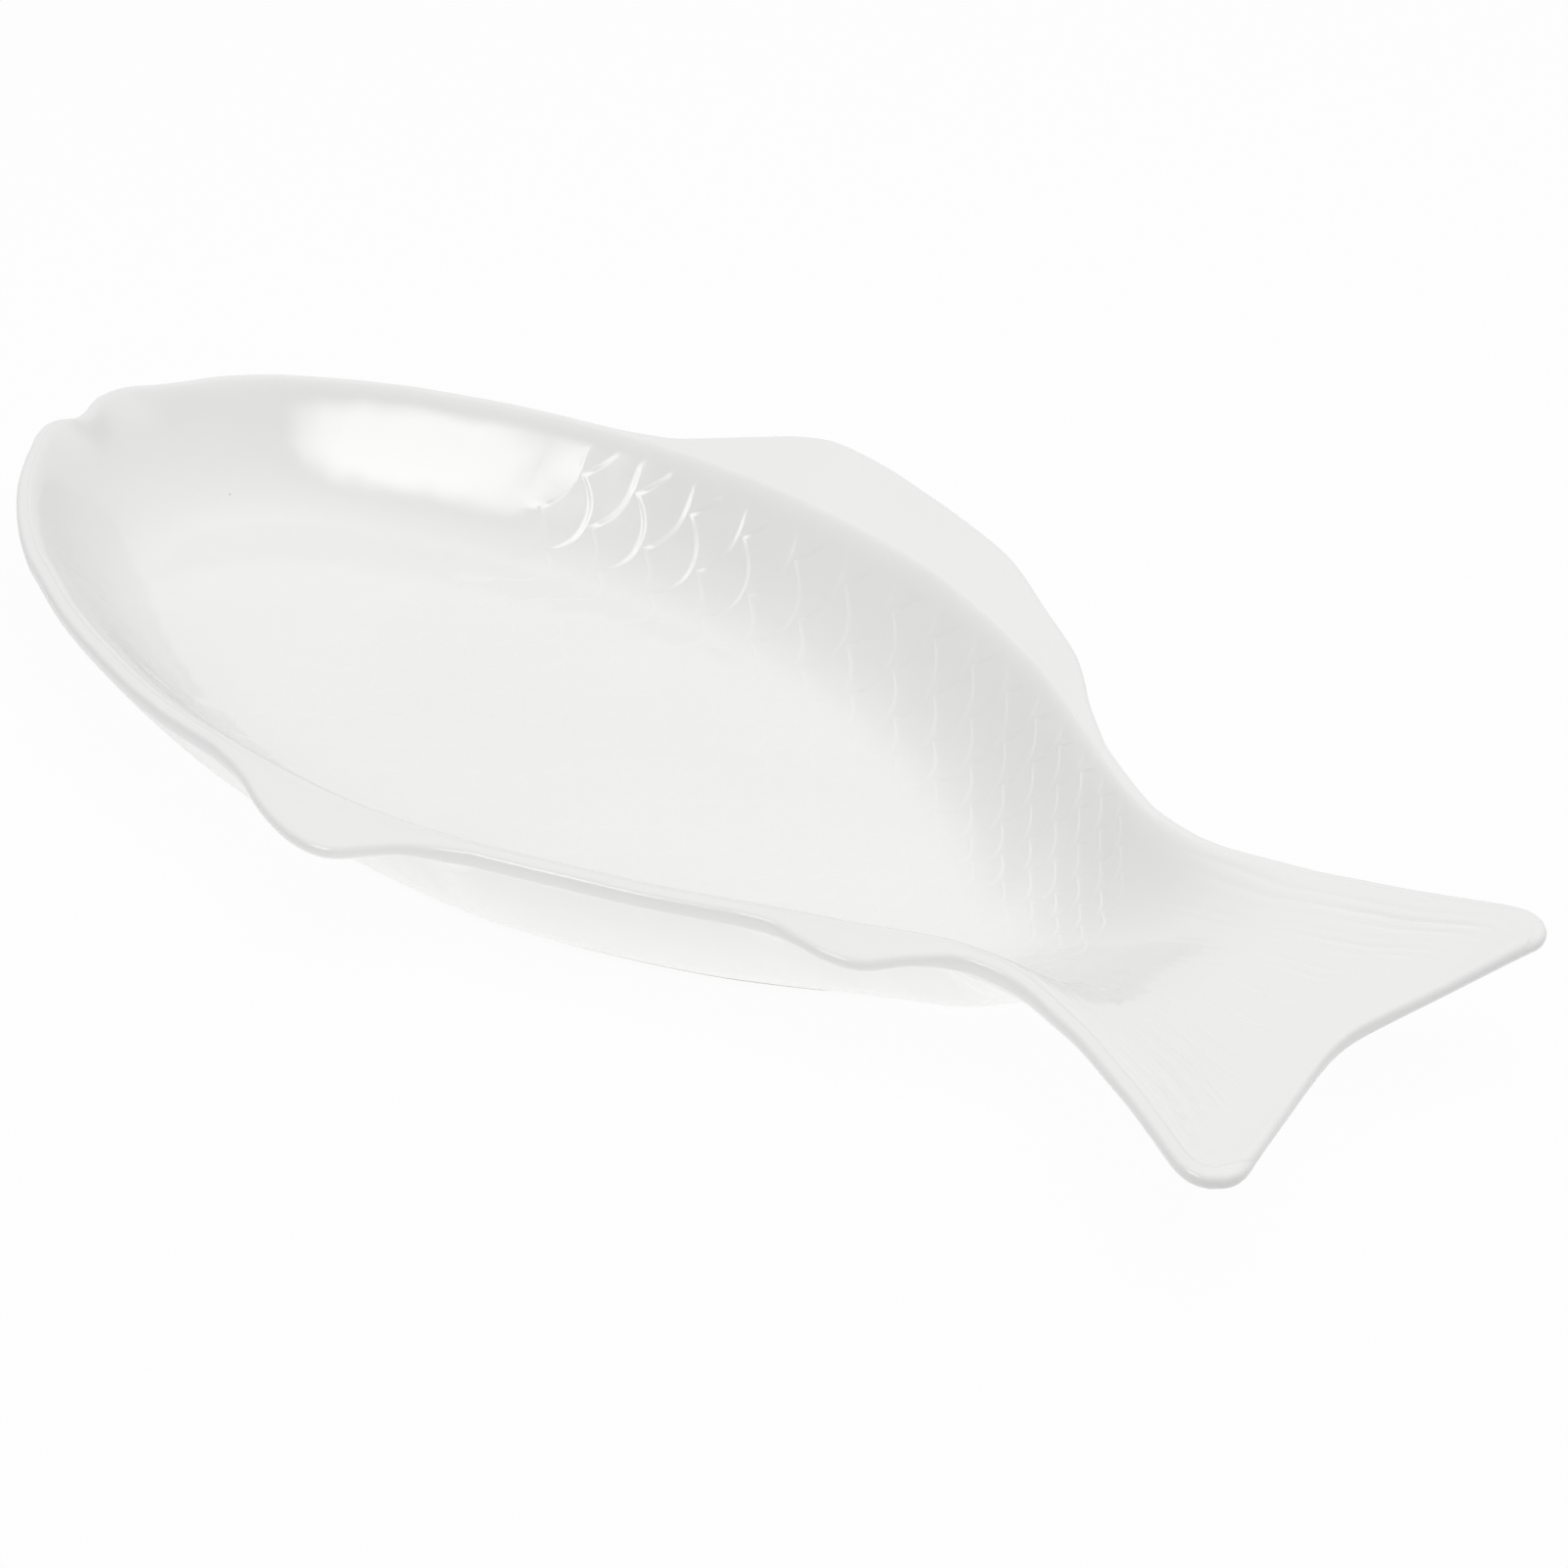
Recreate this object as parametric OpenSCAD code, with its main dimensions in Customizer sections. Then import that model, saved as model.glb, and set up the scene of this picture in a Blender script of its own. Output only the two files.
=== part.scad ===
// Serving platter in the shape of a fish: one moulded and glazed shell.
// X runs from the mouth to the tail, Y towards the dorsal fin, Z up from the table.

/* [Body] */
// Length from the mouth to the tips of the tail
length = 360; // [280:1:440]
// Width across the widest part of the body, without the fins
body_w = 154.4; // [130:0.2:190]
// Distance from the mouth to the widest part of the body
widest_at = 150; // [135:1:170]
// Height of the rim above the table
rim_h = 30; // [25:0.5:38]
// Thickness of the rounded rim and of the fins
rim_t = 3.2; // [2.6:0.1:4]
// Distance that the inner wall takes from the rim down to the floor of the well
wall_run = 27; // [22:0.5:30]
// How far the belly draws in between its two fins, past the shape of the back
belly_tuck = 4.5; // [0:0.1:8]
// Thickness of the floor of the well
floor_t = 4; // [3.2:0.1:5]

/* [Head] */
// Radius of the round head, measured from its centre
head_r = 50.5; // [45:0.5:56]
// Depth of the notch of the mouth
mouth_depth = 4.1; // [2:0.1:6]

/* [Scales] */
// Distance from the mouth to the first row of scales
scales_from = 97; // [92:1:106]
// Distance from the mouth to the last row of scales
scales_to = 252; // [220:1:258]
// Height of the free edge of a scale above its root
scale_h = 1; // [0.2:0.1:1.4]

/* [Fins] */
// How far the dorsal fin stands out from the body
dorsal_fin = 25.4; // [10:0.1:30]
// How far the pelvic fin stands out from the body
pelvic_fin = 11.4; // [5:0.1:16]
// How far the anal fin stands out from the body
anal_fin = 8; // [4:0.1:12]
// How far the edge of the tallest fin lies below the rim
fin_drop = 1.2; // [0:0.1:3]

/* [Tail] */
// Width across the tips of the tail
tail_w = 100.8; // [80:0.2:130]
// Width of the narrow root of the tail
root_w = 58.6; // [52:0.2:70]
// Distance from the root of the tail to its tips
tail_l = 66; // [56:1:80]
// How far the middle of the trailing edge lies ahead of the tips
fork_depth = 11; // [4:0.5:20]
// Depth of the hollow along the tail, below its raised sides
hollow_depth = 3.2; // [2:0.2:6]
// Distance that the sides of the tail take down to the hollow, where it is wide enough
hollow_run = 36; // [28:1:44]
// Radius of the rounded tips of the tail
tip_r = 6.5; // [4:0.5:9]

/* [Foot] */
// Height of the foot ring
foot_h = 1.5; // [1:0.1:3]
// Width of the foot ring
foot_w = 3; // [2:0.1:5]
// Distance from the edge of the body to the foot ring
foot_inset = 21.6; // [20:0.1:24]
// Distance from the tips of the tail to the back of the foot ring
foot_back = 84; // [80:1:100]
// Distance from the edge of the body to the flat bottom
base_inset = 20.5; // [18:0.5:22]

/* [Hidden] */
glaze = [0.93, 0.93, 0.92];

// Fineness of the mesh: stations ahead of the scales, behind them and along the tail
head_steps = 4;
rear_steps = 5;
tail_steps = 10;
// Steps for measuring the slope of an outline, and of the long line that the walls follow
slope_step_share = 0.004;
wall_step_share = 0.03;

// Direction of the nose, and its reach as a share of the head's radius
nose_turn = 6;
nose_share = 1.066;
// Radius of the head by direction: degrees from the nose, minus on the belly side
head_shares = [
    [-90, 1.121], [-78, 1.038], [-62, 0.976], [-45, 0.965], [-30, 0.994], [-20, 1.04],
    [-12, 1.054], [0, 1.055], [nose_turn, nose_share], [10, 1.058], [14, 1.026], [18, 0.998],
    [25, 0.98], [32, 0.981], [45, 0.975], [62, 0.98], [78, 1.036], [90, 1.121]
];
// Depth of the mouth by direction, as shares of the full depth
mouth_shares = [[-16, 0], [-13, 0.3], [-11, 0.85], [-8.5, 1], [-5, 0.76], [-2, 0.38], [2, 0]];
// Directions of the spokes that fan out over the head
head_angles = [
    -90, -77, -64, -52, -41, -31, -23, -18, -15, -13, -11, -8.5, -5,
    -2, 2, 6, 10, 14, 19, 27, 38, 51, 64, 77, 90
];

// Half width of the body, from the head to its widest part and on to the root of the tail
front_shares = [[0, 0], [0.21, 0.388], [0.43, 0.676], [0.66, 0.898], [0.82, 0.974], [0.93, 0.9965], [1, 1]];
rear_shares = [
    [0, 1], [0.04, 0.998], [0.08, 0.992], [0.18, 0.967], [0.29, 0.919], [0.42, 0.806], [0.56, 0.643],
    [0.65, 0.51], [0.76, 0.315], [0.83, 0.188], [0.92, 0.05], [0.97, 0.012], [1, 0]
];
// Stretch of the length over which the belly draws in, and by how much
tuck_shares = [[0.3, 0], [0.4, 0.3], [0.48, 0.42], [0.54, 0.8], [0.6, 1], [0.65, 0.9], [0.68, 0.78], [0.71, 0.48], [0.745, 0]];
// Half width of the tail, from its root to its tips
tail_shares = [
    [0, 0], [0.06, 0.005], [0.13, 0.033], [0.27, 0.147], [0.4, 0.26], [0.53, 0.412],
    [0.67, 0.578], [0.8, 0.754], [0.93, 0.934], [1, 1]
];

// Place of each fin as shares of the length, and its height along that stretch
dorsal_span_shares = [0.261, 0.728];
dorsal_shares = [
    [0, 0], [0.036, 0.02], [0.07, 0.063], [0.107, 0.15], [0.143, 0.376], [0.179, 0.627],
    [0.214, 0.863], [0.25, 0.985], [0.286, 1], [0.357, 0.945], [0.464, 0.823], [0.571, 0.71],
    [0.643, 0.65], [0.75, 0.455], [0.82, 0.361], [0.857, 0.306], [0.893, 0.216], [0.929, 0.114], [1, 0]
];
pelvic_span_shares = [0.378, 0.556];
pelvic_shares = [
    [0, 0], [0.17, 0.21], [0.33, 0.58], [0.41, 0.75], [0.52, 0.93], [0.61, 1],
    [0.66, 0.98], [0.7, 0.89], [0.74, 0.7], [0.81, 0.36], [0.89, 0.15], [1, 0]
];
anal_span_shares = [0.694, 0.803];
anal_shares = [
    [0, 0], [0.13, 0.08], [0.26, 0.36], [0.39, 0.64], [0.5, 0.86], [0.6, 1],
    [0.67, 0.97], [0.72, 0.8], [0.77, 0.58], [0.85, 0.33], [0.92, 0.12], [1, 0]
];

// Scales: a quarter of their width and their spacing along the body, as shares of its half width,
// the line where the tips of every second row lie, counted from the middle, and the lines in all
scale_line_share = 0.0465;
scale_pitch_share = 0.1;
scale_tip_line = 19;
scale_lines = 20;
// How far a free edge curves back from its tip, and the width of its step, in the same shares
scale_curl_share = 0.08;
scale_step_share = 0.014;
curl_bend = 2.2;
// Where the scales rise out of the plain head, ahead of the first row, as a share of the half width,
// and the least length of plain body behind them, as a share of the whole length
scale_root_share = 0.13;
least_rear_share = 0.05;
// Steps across the rim's roll, and down the outer wall
lip_shares = [0.01, 0.028, 0.048];
outer_shares = [0.06, 0.16, 0.3, 0.46, 0.64, 0.82, 1];
keel_shares = [-0.5, 0, 0.5];
// How the inner wall rolls over from the crest and curves down to the floor
lip_bend = 1.5;
wall_bend = 3;
// How the outer wall curves down to the foot
outer_bend = 1.35;
// Edge of the floor and of the flat bottom round the head, as a share of their half width behind it
inner_head_share = 0.794;
inner_head_bend = 3;
// Stretches of the length over which the floor and the underside rise into the tail
floor_rise_shares = [0.742, 0.905];
under_rise_shares = [0.752, 0.9];
// Place along the length where the foot ring starts to close
foot_round_share = 0.69;
// Places of the last stations, as shares of the edge radius from the trailing edge
end_shares = [0.35, 0.06];
// Place of the crest in from the edge of the body, as a share of the rim's thickness
crest_share = 0.85;
// Where the outer wall starts below the rim, as shares of the rim's thickness: plain rim, then under a fin
under_shares = [0.25, 0.78];
under_drop_shares = [1.5, 1.15];
// How the rounding of a plain rim stretches into the wall, as shares of the rounding of a fin
plain_in_share = 0.22;
plain_down_share = 1.12;
// Height of a fin, in thicknesses of the rim, from which it stands as a flange of its own
flange_at = 1.5;
// How far the edge of the plain rim lies below the crest, as a share of the rim's thickness
edge_drop_share = 0.1;
// Roundness of the middle of the trailing edge
fork_round_share = 0.2;
// Least half width of the floor and of the keel as a share of the half width of the body
least_inner_share = 0.12;
// Steepest slant of an outline that the rim's thickness follows
most_slant = 1.8;

edge_r = rim_t / 2;
head_at = head_r * nose_share * cos(nose_turn);
root_at = length - tail_l;
foot_end = length - foot_back;
slope_step = slope_step_share * length;
wall_step = wall_step_share * length;

// Smooth curve through hand-chosen points
function span(p, x, i = 0) = i < len(p) - 2 && x > p[i + 1][0] ? span(p, x, i + 1) : i;
function lean(p, i) =
    let (a = max(i - 1, 0), b = min(i + 1, len(p) - 1))
    (p[b][1] - p[a][1]) / (p[b][0] - p[a][0]);
function curve(p, x) =
    let (
        i = span(p, x),
        h = p[i + 1][0] - p[i][0],
        t = min(max((x - p[i][0]) / h, 0), 1)
    )
    p[i][1] * (1 + 2 * t) * (1 - t) * (1 - t)
    + h * lean(p, i) * t * (1 - t) * (1 - t)
    + p[i + 1][1] * t * t * (3 - 2 * t)
    - h * lean(p, i + 1) * t * t * (1 - t);
function blend(a, b, s) = a + (b - a) * s;
function part_of(x, from, to) = min(max((x - from) / (to - from), 0), 1);
function ease(s) = s * s * (3 - 2 * s);
function rise(u, shares) = ease(part_of(u / length, shares[0], shares[1]));

// Outline seen from above
function head_round(angle) = head_r * curve(head_shares, angle);
function mouth_cut(angle) =
    angle <= mouth_shares[0][0] || angle >= mouth_shares[len(mouth_shares) - 1][0]
        ? 0 : mouth_depth * max(curve(mouth_shares, angle), 0);
function head_reach(angle) = head_round(angle) - mouth_cut(angle);
function body_half(u) =
    u < widest_at
        ? blend(head_reach(90), body_w / 2, curve(front_shares, part_of(u, head_at, widest_at)))
        : blend(root_w / 2, body_w / 2, curve(rear_shares, part_of(u, widest_at, root_at)));
function tip_cut(u) =
    u <= length - tip_r ? 0 : tip_r - sqrt(max(tip_r * tip_r - pow(u - length + tip_r, 2), 0));
function tail_half(u) =
    blend(root_w / 2, tail_w / 2, curve(tail_shares, part_of(u, root_at, length - tip_r))) - tip_cut(u);
function tuck(u) =
    let (last_tuck = tuck_shares[len(tuck_shares) - 1][0] * length)
    u <= tuck_shares[0][0] * length || u >= last_tuck ? 0 : belly_tuck * max(curve(tuck_shares, u / length), 0);
function half_at(u, side = 1) = u < root_at ? body_half(u) - (side < 0 ? tuck(u) : 0) : tail_half(u);
function fin(u, span_shares, shares, height) =
    let (x = (u / length - span_shares[0]) / (span_shares[1] - span_shares[0]))
    x <= 0 || x >= 1 ? 0 : height * max(curve(shares, x), 0);
function fins(u, side) =
    side > 0
        ? fin(u, dorsal_span_shares, dorsal_shares, dorsal_fin)
        : fin(u, pelvic_span_shares, pelvic_shares, pelvic_fin) + fin(u, anal_span_shares, anal_shares, anal_fin);
function outer_at(u, side) = half_at(u, side) + fins(u, side);
function slant_of(rise_over, over) = min(sqrt(1 + pow(rise_over / over, 2)), most_slant);
function body_slant(u, side) =
    let (from = max(u - slope_step, head_at))
    slant_of(half_at(u + slope_step, side) - half_at(from, side), u + slope_step - from);
function wall_slant(u) =
    let (to = min(u + wall_step, length - tip_r), from = max(min(u, to) - wall_step, head_at))
    slant_of(half_at(to) - half_at(from), to - from);
function head_slant(angle) =
    let (
        turn = slope_step / head_round(angle) * 180 / PI,
        to = min(angle + turn, 90),
        from = max(angle - turn, -90)
    )
    slant_of(head_round(to) - head_round(from), (to - from) * PI / 180 * head_round(angle));
function edge_slant(u, side) =
    let (from = max(u - slope_step, head_at))
    slant_of(outer_at(u + slope_step, side) - outer_at(from, side), u + slope_step - from);

// Rows of scales, closer together as the body narrows
scales_end = min(scales_to, root_at - least_rear_share * length);
function scale_rows(u) = u > scales_end ? [] : concat(u, scale_rows(u + scale_pitch_share * half_at(u)));
row_places = scale_rows(scales_from);
rows_end = row_places[len(row_places) - 1];
scale_root = scales_from - scale_root_share * half_at(scales_from);

// Stations along the body: place, row of scales, and level on that row's free edge: above or below
stations = concat(
    [for (k = [1:head_steps]) [blend(head_at, scale_root, k / head_steps), 0, 0]],
    [
        for (i = [0:len(row_places) - 1]) for (level = [1, 0.5])
            let (u = row_places[i])
            [level == 1 ? u : u + scale_step_share * half_at(u), i, level]
    ],
    [for (k = [1:rear_steps]) [blend(rows_end, root_at, k / rear_steps), 0, 0]],
    [for (k = [1:tail_steps]) [blend(root_at, length - edge_r, k / tail_steps), 0, 0]],
    [for (s = end_shares) [length - edge_r * s, 0, 0]]
);
last = len(stations);
flat_last = len([for (s = stations) if (s[0] <= under_rise_shares[0] * length) s]);
spokes = concat(
    [for (k = [last:-1:1]) [k, -1]],
    [for (a = head_angles) [0, a]],
    [for (k = [1:last]) [k, 1]]
);
function at_u(s) = s[0] == 0 ? head_at : is_undef(s[2]) ? stations[s[0] - 1][0] : s[2];
function body_reach(s) = s[0] == 0 ? head_reach(s[1]) : half_at(at_u(s), s[1]);
function edge_reach(s) = s[0] == 0 ? head_reach(s[1]) : outer_at(at_u(s), s[1]);
function body_lean(s) = s[0] == 0 ? head_slant(s[1]) : body_slant(at_u(s), s[1]);
function edge_lean(s) = s[0] == 0 ? head_slant(s[1]) : edge_slant(at_u(s), s[1]);

// Heights of the surfaces
function floor_z(u) = foot_h + floor_t + (rim_h - hollow_depth - foot_h - floor_t) * rise(u, floor_rise_shares);
function keel_z(u) = foot_h + (rim_h - hollow_depth - rim_t - foot_h) * rise(u, under_rise_shares);
// The walls end on calmer lines than the rim: the edge of the floor and that of the flat bottom
function inner_share(s) = s[0] == 0 ? blend(inner_head_share, 1, pow(abs(s[1]) / 90, inner_head_bend)) : 1;
function inner_r(s, inset) =
    inner_share(s) * max(half_at(at_u(s)) - inset * wall_slant(at_u(s)), least_inner_share * half_at(at_u(s)));
function run_to(u, run) = blend(run, hollow_run, rise(u, floor_rise_shares));
function toe_r(s) = inner_r(s, rim_t * crest_share + run_to(at_u(s), wall_run));
function keel_r(s) = inner_r(s, run_to(at_u(s), base_inset));
function fin_reach(s) = edge_reach(s) - body_reach(s);
function edge_z(s) = rim_h - rim_t * edge_drop_share - fin_drop * fin_reach(s) / dorsal_fin;
function flange(s) = ease(part_of(fin_reach(s) / rim_t, 0, flange_at));
function crest_r(s) = body_reach(s) - rim_t * crest_share * body_lean(s);
function well_z(s, v) =
    let (
        low = floor_z(at_u(s)),
        q = part_of(v, crest_r(s), toe_r(s))
    )
    low + (rim_h - low) * pow(1 - pow(q, lip_bend), wall_bend);

// How the trailing edge runs back from the middle to the tips
function fork_line(t) =
    (sqrt(t * t + fork_round_share * fork_round_share) - fork_round_share)
    / (sqrt(1 + fork_round_share * fork_round_share) - fork_round_share);

// A point of a section, at a distance v from the middle and a height z
function end_round(u) = let (x = (length - u) / edge_r) x >= 1 ? 1 : sqrt(1 - (1 - x) * (1 - x));
function put(s, v, z) =
    let (u = at_u(s))
    s[0] == 0
        ? [u - v * cos(s[1]), v * sin(s[1]), z]
        : let (
            t = min(v / body_reach(s), 1),
            fork = fork_depth * pow(part_of(u, root_at, length), 2),
            core = well_z(s, min(v, crest_r(s))) - edge_r
        )
        [u - fork * (1 - fork_line(t)), s[1] * v, core + (z - core) * end_round(u)];

// A point of the well on one of the scales' lines: their free edges curve back and step down
function scale_side(s, line) = abs((s[1] * line - scale_tip_line - 2 * (stations[s[0] - 1][1] % 2)) % 4);
function well_point(s, line) =
    let (
        scaled = s[0] != 0 && stations[s[0] - 1][2] > 0,
        off = scaled ? min(scale_side(s, line), 4 - scale_side(s, line)) / 2 : 0,
        u = at_u(s) - (scaled ? scale_curl_share * half_at(at_u(s)) * pow(off, curl_bend) : 0),
        m = s[0] == 0 ? s : [s[0], s[1], u],
        v = crest_r(m) * scale_line_share * line,
        up_by = scaled ? scale_h * (stations[s[0] - 1][2] - off / 2) : 0
    )
    put(m, v, well_z(m, v) + up_by * (line == scale_lines ? 0.5 : 1));

// Upper surface of a section: round edge, fin, crest and well
function upper(s) =
    let (
        o = edge_reach(s),
        e = edge_z(s),
        r = edge_r * edge_lean(s),
        crest = crest_r(s)
    )
    concat(
        [
            put(s, o, e - edge_r),
            put(s, o - r * (1 - cos(45)), e - edge_r * (1 - sin(45))),
            put(s, o - r, e),
            put(s, (o - r + crest) / 2, (e + rim_h) / 2),
            put(s, crest, rim_h)
        ],
        [for (t = lip_shares) put(s, crest * (1 - t), well_z(s, crest * (1 - t)))],
        [for (line = [scale_lines:-1:1]) well_point(s, line)]
    );
// Lower surface of a section: round edge, underside of the fin and outer wall
function lower(s) =
    let (
        o = edge_reach(s),
        e = edge_z(s),
        g = flange(s),
        r = edge_r * edge_lean(s) * blend(plain_in_share, 1, g),
        v0 = body_reach(s) - rim_t * blend(under_shares[0], under_shares[1], g) * body_lean(s),
        z0 = rim_h - rim_t * blend(under_drop_shares[0], under_drop_shares[1], g),
        low = keel_z(at_u(s))
    )
    concat(
        [
            put(s, o - r * (1 - cos(45)), e - edge_r * (1 + sin(45))),
            put(s, o - r, e - rim_t * blend(plain_down_share, 1, g)),
            put(s, v0, z0)
        ],
        [for (q = outer_shares) put(s, blend(v0, keel_r(s), q), low + (z0 - low) * pow(1 - q, outer_bend))]
    );
function keel(k) =
    [for (x = keel_shares) put([k, x < 0 ? -1 : 1], keel_r([k, 1]) * abs(x), keel_z(at_u([k])))];

upper_n = len(lip_shares) + scale_lines + 5;
lower_n = len(outer_shares) + 3;
keel_n = len(keel_shares);
upper_points = [for (s = spokes) each upper(s)];
lower_points = [for (s = spokes) each lower(s)];
spine_points = [for (k = [0:last]) put([k, k == 0 ? 90 : 1], 0, well_z([k, k == 0 ? 90 : 1], 0))];
keel_points = [for (k = [flat_last:last]) each keel(k)];

lower_from = len(upper_points);
spine_from = lower_from + len(lower_points);
keel_from = spine_from + len(spine_points);
function up(i, j) = j < upper_n ? i * upper_n + j : spine_from + spokes[i][0];
function low(i, j) = j < 0 ? up(i, 0) : lower_from + i * lower_n + j;
function near_spoke(k) = last - k;
function far_spoke(k) = len(spokes) - 1 - last + k;
function keel_row(k) =
    concat(
        low(near_spoke(k), lower_n - 1),
        [for (j = [0:keel_n - 1]) keel_from + (k - flat_last) * keel_n + j],
        low(far_spoke(k), lower_n - 1)
    );

// Triangles between two rows of points, and between two lines of unlike counts
function quad(a, b, c, d) = concat(b == c ? [] : [[a, b, c]], c == d ? [] : [[a, c, d]]);
function ladder(a, b, i = 0, j = 0) =
    i == len(a) - 1 && j == len(b) - 1 ? []
    : let (step_a = j == len(b) - 1 || (i < len(a) - 1 && (i + 1) / (len(a) - 1) <= (j + 1) / (len(b) - 1)))
    concat(
        step_a
            ? (a[i] == b[j] || a[i + 1] == b[j] ? [] : [[a[i], a[i + 1], b[j]]])
            : (a[i] == b[j] || a[i] == b[j + 1] ? [] : [[a[i], b[j + 1], b[j]]]),
        ladder(a, b, step_a ? i + 1 : i, step_a ? j : j + 1)
    );

top_faces = [
    for (i = [0:len(spokes) - 2]) for (j = [0:upper_n - 1])
        each quad(up(i, j), up(i + 1, j), up(i + 1, j + 1), up(i, j + 1))
];
side_faces = [
    for (i = [0:len(spokes) - 2]) for (j = [-1:lower_n - 2])
        each quad(low(i, j), low(i, j + 1), low(i + 1, j + 1), low(i + 1, j))
];
keel_faces = [
    for (k = [flat_last:last - 1])
        let (a = keel_row(k), b = keel_row(k + 1))
        for (j = [0:keel_n]) each quad(a[j], b[j], b[j + 1], a[j + 1])
];
base_ring = concat(
    [for (i = [near_spoke(flat_last):far_spoke(flat_last)]) low(i, lower_n - 1)],
    [for (j = [keel_n:-1:0]) keel_row(flat_last)[j]]
);
base_middle = keel_from + len(keel_points);
base_faces = [for (i = [0:len(base_ring) - 2]) [base_middle, base_ring[i + 1], base_ring[i]]];
end_top = concat(
    [for (j = [0:upper_n]) up(near_spoke(last), j)],
    [for (j = [upper_n - 1:-1:0]) up(far_spoke(last), j)]
);
end_low = concat(
    [for (j = [-1:lower_n - 1]) low(near_spoke(last), j)],
    [for (j = [1:keel_n]) keel_row(last)[j]],
    [for (j = [lower_n - 1:-1:-1]) low(far_spoke(last), j)]
);

module shell() {
    polyhedron(
        points = concat(upper_points, lower_points, spine_points, keel_points, [[widest_at, 0, foot_h]]),
        faces = concat(top_faces, side_faces, keel_faces, base_faces, ladder(end_top, end_low))
    );
}

// Foot ring: follows the body's outline and closes ahead of the tail
function foot_line(inward, side) =
    let (from = foot_round_share * length, end = foot_end - inward)
    concat(
        [for (k = [1:last]) if (at_u([k]) < from) [at_u([k]), side * (inner_r([k], foot_inset) - inward)]],
        [
            for (a = [0:15:75])
                let (u = blend(from, end, sin(a)))
                [u, side * (inner_r([1, 1, u], foot_inset) - inward) * cos(a)]
        ]
    );
function foot_loop(inward) =
    concat(
        foot_line(inward, 1),
        [[foot_end - inward, 0]],
        reverse(foot_line(inward, -1)),
        [
            for (a = head_angles)
                let (r = inner_r([0, a], foot_inset) - inward)
                [head_at - r * cos(a), r * sin(a)]
        ]
    );
function reverse(list) = [for (i = [len(list) - 1:-1:0]) list[i]];
module foot_ring() {
    linear_extrude(foot_h + floor_t / 2)
        difference() {
            polygon(foot_loop(0));
            polygon(foot_loop(foot_w));
        }
}

along = [for (p = upper_points) p[0]];
across = [for (p = upper_points) p[1]];
module platter() {
    color(glaze)
        translate([-(min(along) + max(along)) / 2, -(min(across) + max(across)) / 2, 0]) {
            shell();
            foot_ring();
        }
}

platter();
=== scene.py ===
# Serving platter in the shape of a fish: one pressed shell with scales and fin rays in relief,
# a foot ring underneath and a glossy white glaze. X runs from the mouth to the tail, Y to the back.
import math

import bpy
import numpy as np
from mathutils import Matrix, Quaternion, Vector


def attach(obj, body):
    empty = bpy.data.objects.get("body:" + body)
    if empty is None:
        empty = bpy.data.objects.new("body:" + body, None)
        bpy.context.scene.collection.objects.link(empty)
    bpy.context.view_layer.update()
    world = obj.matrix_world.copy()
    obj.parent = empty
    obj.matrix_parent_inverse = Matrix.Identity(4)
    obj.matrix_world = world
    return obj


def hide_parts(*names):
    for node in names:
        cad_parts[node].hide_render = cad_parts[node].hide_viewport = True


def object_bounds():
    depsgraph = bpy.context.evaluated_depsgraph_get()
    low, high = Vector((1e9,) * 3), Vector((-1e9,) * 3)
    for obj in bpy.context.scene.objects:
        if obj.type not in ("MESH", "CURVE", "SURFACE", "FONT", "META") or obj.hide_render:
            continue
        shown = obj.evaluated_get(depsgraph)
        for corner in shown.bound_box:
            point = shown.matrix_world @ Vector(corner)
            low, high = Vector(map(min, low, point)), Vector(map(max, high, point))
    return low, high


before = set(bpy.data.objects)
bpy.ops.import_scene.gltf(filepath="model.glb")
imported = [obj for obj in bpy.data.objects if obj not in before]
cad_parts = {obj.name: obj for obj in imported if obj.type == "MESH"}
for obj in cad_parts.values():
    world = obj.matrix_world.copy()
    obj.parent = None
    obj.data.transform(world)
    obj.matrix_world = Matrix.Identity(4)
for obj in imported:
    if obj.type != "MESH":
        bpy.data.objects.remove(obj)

cad_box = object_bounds()
for obj in bpy.context.selected_objects:
    obj.select_set(False)

# Outline of the fish, seen from above. The potter's model is a flat pattern first: a round head
# with a notched mouth, a deep body and a tail that spreads from a narrow root. Sizes are in mm.
mm = 0.001
length, tail_length = 360, 66
body_width, root_width, tail_width = 154.4, 58.6, 100.8
widest_at, belly_tuck = 150, 4.5
head_radius, nose_turn, nose_reach = 50.5, 6, 1.066
mouth_depth = 4.1
tail_tip_radius, tail_tip_lean = 6.5, 19
fork_depth, fork_round, fork_end, fork_end_lean = 11, 0.2, 0.07, 1.2
rim_thickness = 3.2
edge_radius = rim_thickness / 2
root_at = length - tail_length
head_at = head_radius * nose_reach * math.cos(math.radians(nose_turn))

# Round the head: the turn from straight ahead in degrees, and the reach in head radii. The calm
# line is the crest of the inner wall, which leaves out the mouth. The mouth's line has shares of
# its depth.
head_line = [
    (-90, 1.121), (-78, 1.038), (-62, 0.976), (-45, 0.965), (-30, 0.994), (-20, 1.04),
    (-12, 1.054), (0, 1.055), (nose_turn, nose_reach), (10, 1.058), (14, 1.026), (18, 0.998),
    (25, 0.98), (32, 0.981), (45, 0.975), (62, 0.98), (78, 1.036), (90, 1.121),
]
calm_head_line = [
    (-90, 1.121), (-78, 1.036), (-60, 0.984), (-34, 0.985), (0, 1.035), (34, 0.985),
    (60, 0.984), (78, 1.036), (90, 1.121),
]
mouth_line = [(-16, 0), (-13, 0.3), (-11, 0.85), (-8.5, 1), (-5, 0.76), (-2, 0.38), (2, 0)]

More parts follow.
